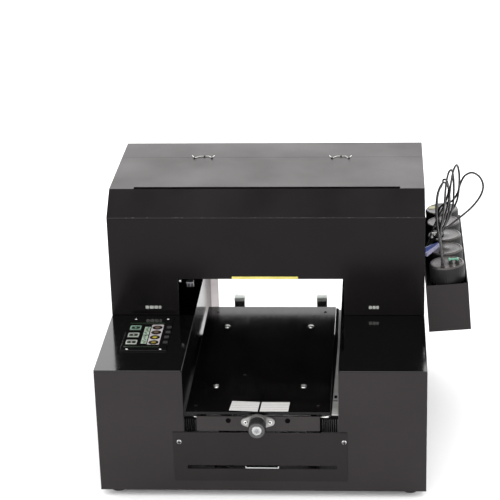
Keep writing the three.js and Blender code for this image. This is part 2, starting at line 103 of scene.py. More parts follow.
def make_camera():
    pitch, yaw = CAMERA_PITCH, CAMERA_YAW
    forward = Vector((math.sin(yaw) * math.cos(pitch), math.cos(yaw) * math.cos(pitch),
                      -math.sin(pitch)))
    right = Vector((math.cos(yaw), -math.sin(yaw), 0))
    up = right.cross(forward)
    level = Matrix((right, up, -forward)).transposed()
    data = bpy.data.cameras.new("camera")
    data.sensor_width = SENSOR_WIDTH
    data.lens = FOCAL_LENGTH
    data.shift_x = FRAMING_SHIFT
    data.clip_end = VIEW_DEPTH
    camera = bpy.data.objects.new("camera", data)
    turn = Matrix.Rotation(CAMERA_ROLL, 3, "Z")
    camera.matrix_world = Matrix.Translation(CAMERA_PLACE) @ (level @ turn).to_4x4()
    link(camera)
    bpy.context.scene.camera = camera


make_camera()

# ---- material tools


def srgb(red, green, blue):
    """Display colour 0..255 to the linear colour that a shader takes."""
    def linear(c):
        c /= 255
        return c / 12.92 if c <= 0.04045 else ((c + 0.055) / 1.055) ** 2.4
    return (linear(red), linear(green), linear(blue), 1)


class Nodes:
    """A material's node tree, with short ways to add and join nodes.

    Noise scales count cells to the metre, and bump distances are in metres."""

    def __init__(self, name):
        self.material = bpy.data.materials.new(name)
        self.material.use_nodes = True
        self.tree = self.material.node_tree
        self.shader = self.tree.nodes["Principled BSDF"]
        self.place = self.add("ShaderNodeTexCoord").outputs["Object"]

    def add(self, kind, **settings):
        node = self.tree.nodes.new(kind)
        for key, value in settings.items():
            setattr(node, key, value)
        return node

    def link(self, source, target):
        self.tree.links.new(source, target)

    def stretched(self, scale):
        mapping = self.add("ShaderNodeMapping")
        mapping.inputs["Scale"].default_value = scale
        self.link(self.place, mapping.inputs["Vector"])
        return mapping.outputs["Vector"]

    def noise(self, scale, detail=3, vector=None):
        node = self.add("ShaderNodeTexNoise")
        node.inputs["Scale"].default_value = scale
        node.inputs["Detail"].default_value = detail
        self.link(vector or self.place, node.inputs["Vector"])
        return node.outputs["Fac"]

    def spread(self, value, low, high, start=0.3, end=0.7):
        node = self.add("ShaderNodeMapRange")
        for key, number in (("From Min", start), ("From Max", end), ("To Min", low),
                            ("To Max", high)):
            node.inputs[key].default_value = number
        self.link(value, node.inputs["Value"])
        return node.outputs["Result"]

    def blend(self, value, first, second):
        node = self.add("ShaderNodeMix", data_type="RGBA")
        node.inputs["A"].default_value = first
        node.inputs["B"].default_value = second
        self.link(value, node.inputs["Factor"])
        return node.outputs["Result"]

    def bump(self, height, strength, distance):
        node = self.add("ShaderNodeBump")
        node.inputs["Strength"].default_value = strength
        node.inputs["Distance"].default_value = distance
        self.link(height, node.inputs["Height"])
        self.link(node.outputs["Normal"], self.shader.inputs["Normal"])

    def math(self, operation, first, second):
        node = self.add("ShaderNodeMath", operation=operation)
        for socket, value in zip(node.inputs, (first, second)):
            if isinstance(value, (int, float)):
                socket.default_value = value
            else:
                self.link(value, socket)
        return node.outputs["Value"]

    def colour(self, output):
        self.link(output, self.shader.inputs["Base Color"])

    def roughness(self, output):
        self.link(output, self.shader.inputs["Roughness"])

    def uniform(self, socket, value):
        self.shader.inputs[socket].default_value = value


# Each finish runs between a dark and a light display colour. rough holds the lowest and
# highest roughness, shine the specular level, and grain a size in millimetres.
WARM_SHEEN = (1, 0.9, 0.92, 1)


def powder_coat(name, dark, light, rough=(0.36, 0.46), grain=1.7, shine=0.32,
                sheen=WARM_SHEEN):
    """Textured stove-enamel: a fine orange-peel grain over a slightly uneven black."""
    n = Nodes(name)
    cloud = n.noise(9, 4)
    speckle = n.noise(1 / (grain * 0.6 * MM), 2)
    tone = n.math("ADD", n.math("MULTIPLY", cloud, 0.5), n.math("MULTIPLY", speckle, 0.5))
    n.colour(n.blend(n.spread(tone, 0, 1, 0.35, 0.65), srgb(*dark), srgb(*light)))
    n.roughness(n.spread(cloud, *rough))
    n.bump(n.noise(1 / (grain * MM), 2), 0.5, 0.0002)
    n.uniform("Specular Tint", sheen)
    n.uniform("Specular IOR Level", shine)
    return n.material


def gloss_enamel(name, dark, light, rough, shine):
    """Smooth lacquer with faint dust and hairline wipe marks."""
    n = Nodes(name)
    wipe = n.noise(30, 5, n.stretched((1, 6, 1)))
    dust = n.noise(420, 2)
    n.colour(n.blend(n.spread(dust, 0, 1, 0.55, 0.8), srgb(*dark), srgb(*light)))
    n.roughness(n.spread(wipe, *rough))
    n.bump(n.noise(60, 2), 0.02, 0.0002)
    n.uniform("Specular IOR Level", shine)
    return n.material


def anodised_plate(name):
    """Black hard-anodised plate, worn a little along its travel."""
    n = Nodes(name)
    grain = n.noise(240, 4, n.stretched((1, 0.06, 1)))
    cloud = n.noise(14, 4)
    n.colour(n.blend(n.spread(cloud, 0, 1), srgb(5, 4, 4), srgb(10, 9, 9)))
    n.roughness(n.spread(n.math("MULTIPLY", grain, cloud), 0.11, 0.18, 0.15, 0.4))
    n.bump(grain, 0.04, 0.0002)
    n.uniform("Specular IOR Level", 0.2)
    return n.material


STREAK_SHADE = 0.72


def metal(name, colour, rough, streak, scale):
    """Bare metal with fine streaks along its grain."""
    n = Nodes(name)
    grain = n.noise(scale, 4, n.stretched(streak))
    bright = srgb(*colour)
    shaded = tuple(STREAK_SHADE * c for c in bright[:3]) + (1,)
    n.colour(n.blend(n.spread(grain, 0, 1), shaded, bright))
    n.roughness(n.spread(grain, *rough))
    n.bump(grain, 0.06, 0.0001)
    n.uniform("Metallic", 1)
    return n.material


def plastic(name, dark, light, rough=(0.35, 0.5), depth=0.12, shine=0.5):
    """Moulded plastic with a fine spark-eroded texture."""
    n = Nodes(name)
    cloud = n.noise(35, 3)
    n.colour(n.blend(n.spread(cloud, 0, 1), srgb(*dark), srgb(*light)))
    n.roughness(n.spread(n.noise(500 / 3, 3), *rough))
    n.bump(n.noise(500, 3), depth, 0.0001)
    n.uniform("Specular IOR Level", shine)
    return n.material


def ruled_paper(name, paper, ink, pitch):
    """Printed label: fine ruled lines, pitch millimetres apart, on a slightly uneven sheet."""
    n = Nodes(name)
    split = n.add("ShaderNodeSeparateXYZ")
    n.link(n.place, split.inputs["Vector"])
    phase = n.math("FRACT", n.math("MULTIPLY", split.outputs["Y"], 1 / (pitch * MM)), 0)
    line = n.spread(n.math("ABSOLUTE", n.math("SUBTRACT", phase, 0.5), 0), 1, 0, 0.08, 0.16)
    worn = n.math("MULTIPLY", line, n.spread(n.noise(300), 0.5, 1))
    n.colour(n.blend(worn, srgb(*paper), srgb(*ink)))
    n.roughness(n.spread(n.noise(80), 0.45, 0.6))
    n.bump(n.noise(200), 0.05, 0.0001)
    return n.material


def lamp_glass(name):
    """Dark glass over violet curing lamps."""
    n = Nodes(name)
    cell = n.add("ShaderNodeTexVoronoi")
    cell.inputs["Scale"].default_value = 160
    n.link(n.place, cell.inputs["Vector"])
    near_lamp = n.spread(cell.outputs["Distance"], 0, 1, 0.1, 0.5)
    n.colour(n.blend(near_lamp, srgb(96, 70, 190), srgb(25, 20, 45)))
    n.roughness(n.spread(n.noise(50), 0.05, 0.1))
    return n.material


COAT = powder_coat("coat_black", (12, 11, 11), (23, 21, 22))
TOP_COAT = powder_coat("coat_top", (12, 11, 11), (23, 21, 21), shine=0.36,
                       sheen=(1, 0.82, 0.84, 1))
# The upper front panel and the fascia take darker copies of the housing's coat: their darker base
# colours are painted shade.
SHADED_UPPER_COAT = powder_coat("coat_upper_shaded", (5, 4, 4), (13, 12, 12), (0.17, 0.23), shine=0.15)
COVER_COAT = powder_coat("coat_cover", (10, 9, 9), (20, 18, 19), shine=0.24)
SHADED_FASCIA_COAT = powder_coat("coat_fascia_shaded", (7, 6, 6), (17, 16, 16), shine=0.3)
BED_COAT = powder_coat("coat_bed", (20, 19, 19), (34, 32, 32), grain=1.2)
GLOSS = gloss_enamel("enamel_black", (4, 4, 4), (14, 13, 13), (0.07, 0.13), 0.5)
WALL_ENAMEL = gloss_enamel("enamel_wall", (7, 7, 7), (16, 15, 15), (0.13, 0.2), 0.32)
PLATEN = anodised_plate("anodised_platen")
STEEL = metal("steel_ground", (150, 150, 150), (0.24, 0.38), (1, 0.04, 1), 90)
BRIGHT = metal("screw_bright", (225, 225, 222), (0.18, 0.3), (1, 1, 1), 300)
FLANGE = metal("flange_plated", (156, 155, 154), (0.28, 0.42), (1, 1, 1), 160)
TRAY = metal("tray_aluminium", (226, 227, 228), (0.2, 0.34), (0.05, 1, 1), 60)
# Bright metal for the shoulder's inner edge: a painted highlight.
EDGE_GLINT_METAL = metal("edge_highlight_metal", (112, 112, 110), (0.4, 0.55), (1, 0.05, 1), 60)
CAST = metal("cast_aluminium", (150, 152, 155), (0.35, 0.5), (1, 1, 1), 200)
BLACK_SCREW = metal("screw_black", (38, 37, 38), (0.3, 0.45), (1, 1, 1), 300)
PLASTIC = plastic("plastic_black", (20, 19, 20), (32, 30, 31))
# Lit and shaded copies of the cap plastic: the tops take a lighter base colour as painted light,
# the steep sides a darker one as painted shade.
LIT_CAP_PLASTIC = plastic("plastic_cap", (48, 44, 44), (66, 61, 60), (0.26, 0.34), shine=0.36)
SHADED_CAP_SIDE = plastic("plastic_cap_shaded_side", (8, 7, 7), (17, 15, 15), shine=0.24)
GREY_PLASTIC = plastic("plastic_grey", (52, 53, 56), (70, 71, 74))
BOTTLE_PLASTIC = plastic("plastic_bottle", (38, 34, 36), (62, 57, 60), (0.12, 0.22))
RUBBER = plastic("rubber_black", (16, 16, 16), (28, 27, 27), (0.6, 0.8), depth=0.3)
TUBE = plastic("tube_black", (14, 13, 14), (26, 24, 25), (0.18, 0.28), depth=0.03)
KNURLED = plastic("knurled_black", (14, 13, 14), (26, 25, 26), (0.35, 0.5))
KNOB_FACE = plastic("knob_face_grey", (50, 49, 50), (68, 66, 67))
INSERT = metal("knob_insert_steel", (186, 186, 186), (0.2, 0.4), (1, 1, 1), 300)
# Dead black for the brush bristles and the cable tie, also used for dark films and bars that are
# painted shade in sockets, recesses, holes and gaps.
BRISTLE_AND_SHADE = plastic("bristle_black_and_shade", (2, 2, 2), (8, 7, 8), (0.7, 0.9), shine=0.03)
PALE_GREEN = plastic("print_pale_green", (98, 124, 110), (124, 150, 136))
PRINT_WHITE = plastic("print_grey_white", (128, 131, 126), (156, 158, 153))
PRINT_ROSE = plastic("print_rose_white", (138, 133, 134), (164, 158, 159))
PALE_WHITE = plastic("print_white", (196, 202, 196), (226, 230, 224))
DARK_GREEN = plastic("board_green", (9, 22, 11), (20, 34, 18))
BROWN = plastic("key_brown", (70, 56, 44), (96, 78, 64))
YELLOW = plastic("key_yellow", (124, 112, 28), (150, 136, 40))
OCHRE = plastic("key_ochre", (92, 82, 26), (116, 102, 36))
FAINT = plastic("print_faint", (34, 33, 33), (52, 50, 51))
TAPE = plastic("tape_yellow", (190, 178, 82), (210, 198, 108), (0.4, 0.5))
STICKER = plastic("sticker_pale", (150, 146, 96), (172, 168, 118))
STRIP_GREY = plastic("strip_grey", (112, 112, 111), (136, 135, 134), (0.3, 0.4))
LEAF_GREEN = plastic("clip_green", (66, 120, 100), (96, 150, 128))
CLIP_BLUE = plastic("clip_blue", (14, 30, 78), (30, 54, 116))
CLIP_LILAC = plastic("clip_lilac", (134, 134, 158), (160, 158, 184))
LABEL = ruled_paper("label_ruled", (188, 186, 184), (130, 130, 130), 6.5)
BLOCKS = ruled_paper("label_blocks", (146, 162, 146), (44, 66, 46), 5.2)
LAMP_GLASS = lamp_glass("lamp_glass")


def smoked_acrylic(name):
    """Frosted grey sheet that lets part of the light through."""
    n = Nodes(name)
    n.colour(n.blend(n.spread(n.noise(18, 4), 0, 1), srgb(150, 145, 145), srgb(182, 176, 176)))
    n.roughness(n.spread(n.noise(30), 0.4, 0.6))
    n.uniform("Transmission Weight", 1)
    return n.material


ACRYLIC = smoked_acrylic("acrylic_smoked")

# ---- mesh tools

# These take millimetres. A placing matrix puts the shape into the frame.


def add_box(bm, low, high, bevel=0.0, segments=2, placing=HOUSE):
    """Box between two corners, with rounded edges, added to bm."""
    low, high = Vector(low) * MM, Vector(high) * MM
    shape = Matrix.Translation((low + high) / 2) @ Matrix.Diagonal((*(high - low), 1))
    made = bmesh.ops.create_cube(bm, size=1, matrix=placing @ shape)
    if bevel:
        edges = list(dict.fromkeys(e for v in made["verts"] for e in v.link_edges))
        bmesh.ops.bevel(bm, geom=edges, offset=bevel * MM, segments=segments, profile=0.5,
                        affect="EDGES")


def add_lathe(bm, profile, segments, placing, ripple=None):
    """Turned shape from (radius, height) points that start and end on the axis, or that
    come back to where they start.

    ripple(angle, radius) gives the radius at an angle, for knurls and ribs."""
    rings = []
    for radius, height in profile:
        if radius == 0:
            rings.append([bm.verts.new(placing @ Vector((0, 0, height * MM)))])
            continue
        ring = []
        for i in range(segments):
            angle = 2 * math.pi * i / segments
            r = ripple(angle, radius) if ripple else radius
            point = Vector((r * math.cos(angle), r * math.sin(angle), height)) * MM
            ring.append(bm.verts.new(placing @ point))
        rings.append(ring)
    for first, second in zip(rings, rings[1:]):
        for i in range(segments):
            j = (i + 1) % segments
            corners = [first[i % len(first)], first[j % len(first)],
                       second[j % len(second)], second[i % len(second)]]
            bm.faces.new(list(dict.fromkeys(corners)))


def band_faces(bm, first, second):
    """Faces between two loops of as many vertices."""
    for k in range(len(first)):
        j = (k + 1) % len(first)
        bm.faces.new((first[k], first[j], second[j], second[k]))


def add_prism(bm, outline, depth, placing):
    """Flat outline of (x, y) points, thickened along local Z, added to bm."""
    low, high = [[bm.verts.new(placing @ (Vector((x, y, z)) * MM)) for x, y in outline]
                 for z in (0, depth)]
    bm.faces.new(low)
    bm.faces.new(high)
    band_faces(bm, low, high)


def add_ring(bm, outer, inner, depth, placing):
    """Flat frame between two outlines of as many points, thickened along local Z."""
    loops = [[bm.verts.new(placing @ (Vector((x, y, z)) * MM)) for x, y in outline]
             for outline, z in ((inner, 0), (inner, depth), (outer, depth), (outer, 0))]
    for first, second in zip(loops, loops[1:] + loops[:1]):
        band_faces(bm, first, second)


def round_rectangle(half_x, half_y, radius, steps=6):
    points = []
    for quarter, (sx, sy) in enumerate(((1, 1), (-1, 1), (-1, -1), (1, -1))):
        for k in range(steps + 1):
            angle = math.pi / 2 * (quarter + k / steps)
            points.append((sx * (half_x - radius) + radius * math.cos(angle),
                           sy * (half_y - radius) + radius * math.sin(angle)))
    return points


def add_rod(bm, points, radius, segments=12):
    """Round bar swept along straight runs between points, closed at both ends."""
    ways = [(b - a).normalized() for a, b in zip(points, points[1:])]
    side = ways[0].orthogonal().normalized()
    rings = []
    for i, point in enumerate(points):
        before, after = ways[max(i - 1, 0)], ways[min(i, len(ways) - 1)]
        way = (before + after).normalized()
        side = (side - side.dot(way) * way).normalized()
        across = way.cross(side)
        mitre = 1 / max(way.dot(after), 0.5)
        bend = (after - before).normalized()
        ring = []
        for k in range(segments):
            angle = 2 * math.pi * k / segments
            arm = radius * (math.cos(angle) * side + math.sin(angle) * across)
            arm += (mitre - 1) * arm.dot(bend) * bend
            ring.append(bm.verts.new(at(*(point + arm))))
        rings.append(ring)
    for first, second in zip(rings, rings[1:]):
        band_faces(bm, first, second)
    bm.faces.new(rings[0])
    bm.faces.new(rings[-1])


def facing(place, normal):
    """Matrix whose local Z points along normal, and local Y up, at a place."""
    z = Vector(normal)
    x = Vector(UPWARD).cross(z) if normal != UPWARD else Vector((1, 0, 0))
    turn = Matrix((x, z.cross(x), z)).transposed()
    return Matrix.Translation(at(*place)) @ turn.to_4x4()


def mesh_object(name, bm):
    bmesh.ops.recalc_face_normals(bm, faces=bm.faces)
    mesh = bpy.data.meshes.new(name)
    bm.to_mesh(mesh)
    bm.free()
    obj = bpy.data.objects.new(name, mesh)
    link(obj)
    return obj


def piece(name, build, material, body=HOUSING, smooth=True, replaces=None, slot=None,
          angle=35):
    """Runs build(bm), and makes the result a piece that rides on body."""
    bm = bmesh.new()
    build(bm)
    obj = mesh_object(name, bm)
    obj.data.materials.append(material)
    if smooth:
        obj.data.shade_smooth()
        bpy.context.view_layer.objects.active = obj
        with bpy.context.temp_override(object=obj, selected_editable_objects=[obj]):
            bpy.ops.object.shade_smooth_by_angle(angle=math.radians(angle))
    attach(obj, body)
    if replaces:
        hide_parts(replaces)
    return obj


SHARP = {"segments": 1, "smooth": False}


def block_piece(name, blocks, material, body=HOUSING, bevel=0.0, segments=2, placing=HOUSE,
                **settings):
    """Piece made of boxes, each between two corners."""
    def build(bm):
        for low, high in blocks:
            add_box(bm, low, high, bevel, segments, placing)
    return piece(name, build, material, body, **settings)


def turned_piece(name, profile, places, segments, material, body=HOUSING, ripple=None,
                 **settings):
    """Piece made of one turned shape at each of its places."""
    def build(bm):
        for place in places:
            add_lathe(bm, profile, segments, place, ripple)
    return piece(name, build, material, body, **settings)


def flat_piece(name, shapes, depth, material, body=HOUSING, **settings):
    """Piece made of flat (outline, place) shapes of one thickness."""
    def build(bm):
        for outline, place in shapes:
            add_prism(bm, outline, depth, place)
    return piece(name, build, material, body, smooth=False, **settings)


SOCKET_SHARE = 0.48
SCREW_SEGMENTS = 24


def screws(name, places, normal, radius, material, body=HOUSING, height=0.35):
    """Round-headed screws with hexagon sockets; height counts in radii."""
    r, h, socket = radius, radius * height, radius * SOCKET_SHARE
    profile = [(0, 0), (r, 0), (r, 0.35 * h), (0.9 * r, 0.8 * h), (0.72 * r, h), (socket, h),
               (0.86 * socket, 0.3 * h), (0, 0.3 * h)]

    def hexagon(angle, ring):
        if ring > socket:
            return ring
        return ring * math.cos(math.pi / 6) / math.cos(angle % (math.pi / 3) - math.pi / 6)
    return turned_piece(name, profile, [facing(place, normal) for place in places],
                        SCREW_SEGMENTS, material, body, hexagon)


# ---- ink tubes

TUBE_ROUTES = [
    [(317, 230, 382), (312, 254, 406), (311, 282, 430), (315, 309, 452), (325, 329, 463),
     (334, 345, 450), (338, 352, 426), (337, 354, 398), (330, 347, 374), (318, 340.5, 355),
     (304, 336.2, 340), (295.5, 328, 328.5), (288.5, 318.8, 323)],
    [(320, 294, 386), (325, 311, 408), (328, 321, 434), (330, 327, 460), (335, 337, 480),
     (341, 350, 480), (345, 359, 458), (346, 362, 430), (344, 361, 402), (335, 354, 378),
     (320, 346, 357), (305, 341.6, 340), (296, 334, 328.5), (288.5, 325, 323)],
    [(327, 363, 374), (342, 369, 391), (352, 367, 412), (356, 367, 442), (355, 362, 472),
     (350, 350, 490), (344, 337, 485), (339, 331, 460), (336, 333, 430), (331, 337, 402),
     (323, 334, 376), (313, 332, 356), (303.4, 330.4, 341), (295.5, 321.8, 328.5),
     (288.5, 312.2, 323)],
    [(322, 420, 378), (331, 407, 392), (345, 391, 404), (354, 380, 424), (359, 373, 446),
     (367, 368, 463), (380, 366, 469), (394, 367, 460), (401, 370, 441), (396, 372, 420),
     (381, 371, 399), (362, 366, 383), (342, 358, 369), (322, 350.8, 356.5), (305, 347.2, 340),
     (296, 340.2, 328.5), (288.5, 331.2, 323)],
    [(321, 487, 380), (323, 468, 398), (326, 440, 416), (327, 414, 432), (328, 392, 446),
     (333, 376, 450), (336.5, 367, 434), (331, 368, 410), (321, 366, 386), (311, 361, 366),
     (304, 355.4, 349), (300, 351.8, 337), (294.5, 346.3, 327.5), (288.5, 337.4, 323)],
]
TUBE_DIAMETER = 4 * MM
TUBE_RISE = 14


def centripetal(points, per_span=6):
    """Points along the centripetal Catmull-Rom curve through the given ones."""
    ends = [2 * points[0] - points[1]] + points + [2 * points[-1] - points[-2]]
    line = []
    for a, b, c, d in zip(ends, ends[1:], ends[2:], ends[3:]):
        t0 = 0.0
        t1 = t0 + (b - a).length ** 0.5
        t2 = t1 + (c - b).length ** 0.5
        t3 = t2 + (d - c).length ** 0.5
        for k in range(per_span):
            t = t1 + (t2 - t1) * k / per_span
            ab = a.lerp(b, (t - t0) / (t1 - t0))
            bc = b.lerp(c, (t - t1) / (t2 - t1))
            cd = c.lerp(d, (t - t2) / (t3 - t2))
            left = ab.lerp(bc, (t - t0) / (t2 - t0))
            right = bc.lerp(cd, (t - t1) / (t3 - t1))
            line.append(left.lerp(right, (t - t1) / (t2 - t1)))
    return line + [points[-1]]


def make_tube(index, route):
    barb_top = Vector((BOTTLE_X, bottle_y(index), 0)) + BARB
    start = racked(*barb_top).translation
    rise = racked(*(barb_top + Vector((0, 0, TUBE_RISE)))).translation
    line = centripetal([start, rise] + [at(*point) for point in route])
    name = f"ink_line_{index + 1}"
    curve = bpy.data.curves.new(name, "CURVE")
    curve.dimensions = "3D"
    curve.bevel_depth = TUBE_DIAMETER / 2
    curve.bevel_resolution = 4
    curve.use_fill_caps = True
    spline = curve.splines.new("POLY")
    spline.points.add(len(line) - 1)
    for point, place in zip(spline.points, line):
        point.co = (*place, 1)
    tube = bpy.data.objects.new(name, curve)
    link(tube)
    curve.materials.append(TUBE)
    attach(tube, HOUSING)
    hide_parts(f"ink_tube_{index + 1}")


for tube_index, tube_route in enumerate(TUBE_ROUTES):
    make_tube(tube_index, tube_route)

# ---- CAD nodes kept as they are

KEPT = {
    COAT: ["base_plate", "left_side_panel", "right_side_panel", "front_panel",
           "rear_panel", "ink_box"],
    COVER_COAT: ["front_cover_plate"],
    SHADED_FASCIA_COAT: ["slanted_fascia"],
    TOP_COAT: ["rear_deck", "lid"],
    SHADED_UPPER_COAT: ["upper_front_panel"],
    GLOSS: ["left_shoulder", "right_shoulder", "control_panel"],
    WALL_ENAMEL: ["left_inner_wall", "right_inner_wall"],
    BED_COAT: ["bed_frame"],
    PLATEN: ["platen"],
    STEEL: ["bed_rail_left", "bed_rail_right", "carriage_rail"],
    TRAY: ["drip_tray"],
    PLASTIC: ["carriage", "capping_station", "carriage_motor", "power_inlet"],
    CAST: ["print_head", "uv_lamp"],
    RUBBER: ["carriage_belt"],
}
EDGE_RADIUS = 0.5 * MM
SEAM_RADIUS = 0.1 * MM
WELD_DISTANCE = 0.01 * MM
SHARP_EDGE = math.radians(40)


def soften_edges(obj, width):
    """Folded and milled edges are never razor sharp: weld the facets, then round the edges."""
    weld = obj.modifiers.new("weld", "WELD")
    weld.merge_threshold = WELD_DISTANCE
    bevel = obj.modifiers.new("edges", "BEVEL")
    bevel.width = width
    bevel.segments = 2
    bevel.limit_method = "ANGLE"
    bevel.angle_limit = SHARP_EDGE
    bevel.harden_normals = False


def dress_kept_nodes():
    for material, names in KEPT.items():
        for name in names:
            obj = NODES[name]
            obj.data.materials.clear()
            obj.data.materials.append(material)
            for face in obj.data.polygons:
                face.material_index = 0
            soften_edges(obj, SEAM_RADIUS if material is TOP_COAT else EDGE_RADIUS)


dress_kept_nodes()

# ---- feet, bottles and caps

BOTTLE_COUNT = 5
RIB_COUNT = 48
RIB_DEPTH = 0.6
SKIRT_RADIUS = 31.9
SIDE_SHADE_SLOPE = 0.6
CAP_RINGS = [(0, -3), (31.2, -3), (31.6, -2.6), (31.6, 0), (32, 0.6), (32, 25), (31.4, 27.6),
             (30, 29.3), (28.2, 29.8), (26.8, 29.2), (25.6, 28.9), (8, 28.9), (6, 29.3),
             (0, 29.3)]
BARB_RINGS = [(0, 28.5), (4, 28.5), (4, 31), (3.2, 31.6), (3.2, 33), (2.6, 33.2), (3, 34.4),
              (2.4, 36.9), (0, 36.9)]
FLASK_RINGS = [(0, -89.7), (26, -89.7), (29, -88.6), (30, -85.6), (30, -26), (28.6, -20),
               (24, -15), (20.4, -13), (20, -11), (20, -3.3), (0, -3.3)]


def make_feet():
    for name in [n for n in NODES if n.startswith("foot_")]:
        low, high = house_box(name)
        middle = (low + high) / 2
        r, h = (high.x - low.x) / 2, high.z - low.z
        profile = [(0, 0), (r - 4, 0), (r - 2.5, 0.8), (r - 0.6, 3), (r, 4.5), (r, h * 0.5),
                   (r - 1, h * 0.55), (r - 1, h * 0.65), (r, h * 0.7), (r, h - 0.6),
                   (r - 0.6, h), (0, h)]
        turned_piece(f"rubber_{name}", profile, [here(middle.x, middle.y, low.z)], 48, RUBBER,
                     replaces=name, slot="rubber_feet")


def cap_ribs(angle, radius):
    """Moulded grip ribs round the skirt."""
    if radius < SKIRT_RADIUS:
        return radius
    return radius - RIB_DEPTH * max(0.0, math.cos(RIB_COUNT * angle)) ** 0.5


def make_bottles():
    for i in range(BOTTLE_COUNT):
        place = racked(BOTTLE_X, bottle_y(i), 0)
        barb = racked(BOTTLE_X + BARB.x, bottle_y(i) + BARB.y, 0)

        def cap(bm):
            add_lathe(bm, CAP_RINGS, 192, place, cap_ribs)
            add_lathe(bm, BARB_RINGS, 32, barb)
        made = piece(f"ink_cap_{i + 1}", cap, LIT_CAP_PLASTIC, replaces=f"bottle_cap_{i + 1}",
                     slot="bottle_caps")
        # Steep faces take the darker copy: painted shade on the cap sides, against the lighter
        # tops.
        made.data.materials.append(SHADED_CAP_SIDE)
        for face in made.data.polygons:
            face.material_index = int(abs(face.normal.z) < SIDE_SHADE_SLOPE)
        turned_piece(f"ink_flask_{i + 1}", FLASK_RINGS, [place], 64, BOTTLE_PLASTIC,
                     replaces=f"ink_bottle_{i + 1}", slot="ink_bottles")


make_feet()
make_bottles()

# ---- knob, bearing and bed front

KNOB_X, KNOB_Z = -5.3, 138.9
KNOB_FRONT = -38
KNURL_COUNT = 40
KNURL_DEPTH = 0.5
KNURL_RADIUS = 15.2
GRIP_RINGS = [(0, -118), (4.9, -118), (4.9, -25), (13.6, -25), (15.2, -24.2), (15.5, -23),
              (15.5, -3), (15.2, -1.6), (14.2, -0.7), (14, -1), (9, -1.4), (0, -1.4)]
INSERT_RINGS = [(0, -1.3), (8.8, -1.3), (8.8, -0.6), (8.2, -0.1), (4.6, -0.1), (4.2, -1),
                (0, -1)]
FACE_RINGS = [(9.1, -1.3), (14.1, -0.9), (13.8, -0.2), (12.6, 0), (10, 0), (9.2, -0.3),
              (9.1, -1.3)]
SET_SCREW_RINGS = [(0, -1), (3.4, -1), (3.4, -0.5), (2.9, -0.3), (1.4, -0.3), (1.2, -0.6),
                   (0, -0.6)]


def knurl(angle, radius):
    if radius < KNURL_RADIUS:
        return radius
    return radius - KNURL_DEPTH * (1 + math.cos(KNURL_COUNT * angle)) / 2


def make_knob():
    axis = [facing((KNOB_X, KNOB_FRONT, KNOB_Z), FRONTWARD)]
    turned_piece("knob_grip", GRIP_RINGS, axis, 160, KNURLED, "knob", knurl,
                 replaces="height_knob", slot="knob_plastic")
    for name, rings, segments, material in (("knob_insert", INSERT_RINGS, 64, INSERT),
                                            ("knob_face", FACE_RINGS, 64, KNOB_FACE),
                                            ("knob_set_screw", SET_SCREW_RINGS, 24, CAST)):
        turned_piece(name, rings, axis, segments, material, "knob")


BOLT_SPAN = 21.5
BEARING_BACK = -1.3
FLANGE_LAYERS = (((21.5, 15, 8), 0, 2.6), ((21.2, 14.4, 7.4), 2.6, 1.4))
HUB_RINGS = [(5.6, 3.9), (13, 3.9), (13, 4.4), (12.2, 8.6), (11.4, 9.4), (9.2, 9.4),
             (8.8, 8.8), (7.2, 8.8), (6.8, 9.4), (5.2, 9.4), (5.2, 3.9), (5.6, 3.9)]


def flange_outline(half_span, hub, ear, steps=14):
    """Round hub with two smaller ears, joined by straight tangents."""
    tangent = math.acos((hub - ear) / half_span)
    arcs = [((0, hub), tangent, math.pi - tangent),
            ((-half_span, ear), math.pi - tangent, math.pi + tangent),
            ((0, hub), math.pi + tangent, 2 * math.pi - tangent),
            ((half_span, ear), -tangent, tangent)]
    points = []
    for (centre, radius), start, end in arcs:
        for k in range(steps + 1):
            angle = start + (end - start) * k / steps
            points.append((centre + radius * math.cos(angle), radius * math.sin(angle)))
    return points


def make_bearing():
    def flange(bm):
        for outline, rise, depth in FLANGE_LAYERS:
            layer = facing((KNOB_X, BEARING_BACK - rise, KNOB_Z), FRONTWARD)
            add_prism(bm, flange_outline(*outline), depth, layer)
        add_lathe(bm, HUB_RINGS, 64, facing((KNOB_X, BEARING_BACK, KNOB_Z), FRONTWARD))
    piece("flange_bearing", flange, FLANGE, "bed", replaces="knob_bearing",
          slot="bearing_steel", angle=30)
    bolts = [KNOB_X - BOLT_SPAN, KNOB_X + BOLT_SPAN]
    screws("flange_bolts", [(x, -5.3, KNOB_Z) for x in bolts], FRONTWARD, 4, BRIGHT, "bed")
    # Dark discs down in the bolts' hexagon sockets: painted shade.
    flat_piece("bolt_socket_shade", [(round_rectangle(1.4, 1.4, 0.7),
                                 facing((x, -5.9, KNOB_Z), FRONTWARD)) for x in bolts],
               FILM, BRISTLE_AND_SHADE, "bed")


BRUSH_PITCH = 3.7
BRUSH_SPANS = ((-135.4, -114), (104.2, 135.2))
TUFT_RINGS = [(0, 0), (1.2, 0), (1.5, 3), (1.25, 14), (1.1, 26.5), (0, 26.5)]
STOP_OUTLINES = ([(-118.4, 148.4), (-111.4, 147), (-111.4, 146), (-117, 146.9)],
                 [(103.6, 147.4), (118.6, 149.8), (118.6, 146.8), (113, 146.2)])
PLUG_SPAN = 52
PLUG_RINGS = [(0, 0), (4.5, 0), (4.5, 0.7), (4, 1.1), (3.2, 0.3), (0, 0.3)]


